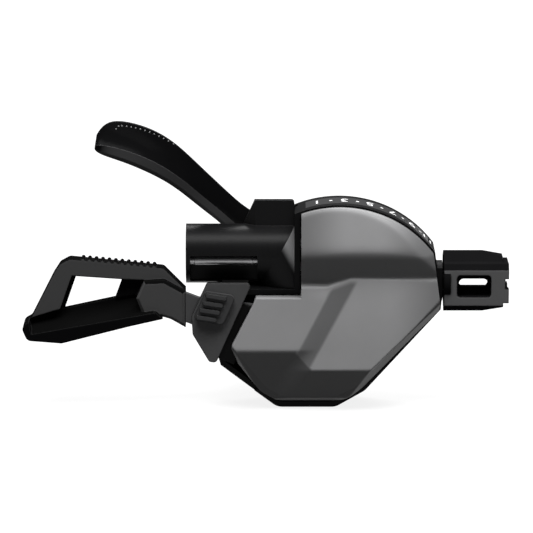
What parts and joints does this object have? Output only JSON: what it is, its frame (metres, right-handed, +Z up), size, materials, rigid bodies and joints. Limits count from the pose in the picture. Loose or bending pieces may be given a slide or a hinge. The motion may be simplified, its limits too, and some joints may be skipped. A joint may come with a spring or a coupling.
{
  "type": "trigger gear shifter",
  "caption": "Right-hand trigger gear shifter for a flat handlebar: thumb lever winds, finger lever releases, with a gear display and a barrel adjuster.",
  "frame": {"origin": "on the handlebar axis, in the middle of the clamp band", "axes": "+X along the bar towards the cable exit, +Z up, the front with the display faces -Y"},
  "size_m": [0.1241, 0.048, 0.0726],
  "materials": {
    "black_alloy": "black anodised, satin",
    "black_moulding": "moulded, fine satin",
    "cover_grey": "metallic dark grey satin paint",
    "plate_grey": "satin",
    "lever_black": "moulded, semi-gloss",
    "black_steel": "black coated, semi-gloss",
    "adjuster_black": "moulded, satin",
    "steel": "plated",
    "spring_steel": "bright drawn",
    "nylon": "natural nylon",
    "needle_grey": "moulded",
    "dial_grey": "satin, printed",
    "clear_window": "clear, polished"
  },
  "bodies": {
    "housing": {"rear_housing": "black_moulding", "front_cover": "cover_grey", "side_plate": "plate_grey", "clamp_bracket": "black_alloy", "bracket_pin": "steel", "bracket_screws": "steel", "clamp_band": "black_alloy", "clamp_bolt": "steel", "clamp_nut": "steel", "cover_screws": "steel", "base_plate": "steel", "main_axle": "steel", "axle_clip": "steel", "hold_pawl_pin": "steel", "reduction_pin": "steel", "dial_strip": "dial_grey", "display_window": "clear_window", "adjuster_stem": "steel", "spool_spring": "spring_steel", "release_spring": "spring_steel", "main_lever_spring": "spring_steel"},
    "main_lever": {"main_lever": "black_steel", "thumb_pad": "lever_black", "feed_pawl_pin": "steel"},
    "feed_pawl": {"feed_pawl": "steel"},
    "release_lever": {"release_lever": "lever_black"},
    "spool": {"cable_spool": "nylon", "ratchet_wheel": "steel"},
    "hold_pawl": {"hold_pawl": "steel"},
    "reduction_gear": {"reduction_gear": "nylon"},
    "indicator_needle": {"indicator_needle": "needle_grey"},
    "barrel_adjuster": {"barrel_adjuster": "adjuster_black"},
    "cable_port_door": {"cable_port_door": "plate_grey"}
  },
  "joints": [
    {"name": "main_lever_swing", "type": "hinge", "parent": "housing", "child": "main_lever", "pos_m": [0.0169, -0.0277, -0.0118], "axis": [0, -1, 0], "range_deg": [0, 30], "stiffness_Nm_per_rad": 0.3, "springref_deg": -17.19, "deforming": ["main_lever_spring"]},
    {"name": "feed_pawl_pivot", "type": "hinge", "parent": "main_lever", "child": "feed_pawl", "pos_m": [0.00278, -0.02575, -0.01328], "axis": [0, -1, 0], "range_deg": [-8, 0], "stiffness_Nm_per_rad": 0.01, "springref_deg": 11.46},
    {"name": "release_lever_swing", "type": "hinge", "parent": "housing", "child": "release_lever", "pos_m": [0.0169, -0.0172, -0.0118], "axis": [0, -1, 0], "range_deg": [-10, 10], "stiffness_Nm_per_rad": 2, "deforming": ["release_spring"]},
    {"name": "spool_turn", "type": "hinge", "parent": "housing", "child": "spool", "pos_m": [0.0169, -0.0236, -0.0118], "axis": [0, -1, 0], "range_deg": [0, 150], "stiffness_Nm_per_rad": 0.01, "springref_deg": -28.65, "deforming": ["spool_spring"]},
    {"name": "hold_pawl_pivot", "type": "hinge", "parent": "housing", "child": "hold_pawl", "pos_m": [0.01571, -0.02575, -0.02535], "axis": [0, -1, 0], "range_deg": [-8, 0], "stiffness_Nm_per_rad": 0.01, "springref_deg": 11.46},
    {"name": "reduction_turn", "type": "hinge", "parent": "housing", "child": "reduction_gear", "pos_m": [0.02469, -0.0207, -0.0163], "axis": [0, -1, 0], "range_deg": [-120, 0]},
    {"name": "needle_turn", "type": "hinge", "parent": "housing", "child": "indicator_needle", "pos_m": [0.0169, -0.0201, -0.0118], "axis": [0, -1, 0], "range_deg": [0, 60]},
    {"name": "adjuster_turn", "type": "hinge", "parent": "housing", "child": "barrel_adjuster", "pos_m": [0.0445, -0.0236, -0.0018], "axis": [1, 0, 0], "continuous": true},
    {"name": "door_slide", "type": "slide", "parent": "housing", "child": "cable_port_door", "axis": [-0.4045, 0, -0.9145], "range_m": [0, 0.0044]}
  ],
  "couplings": [
    {"joint": "reduction_turn", "follows": "spool_turn", "ratio": -0.8},
    {"joint": "needle_turn", "follows": "spool_turn", "ratio": 0.4}
  ]
}
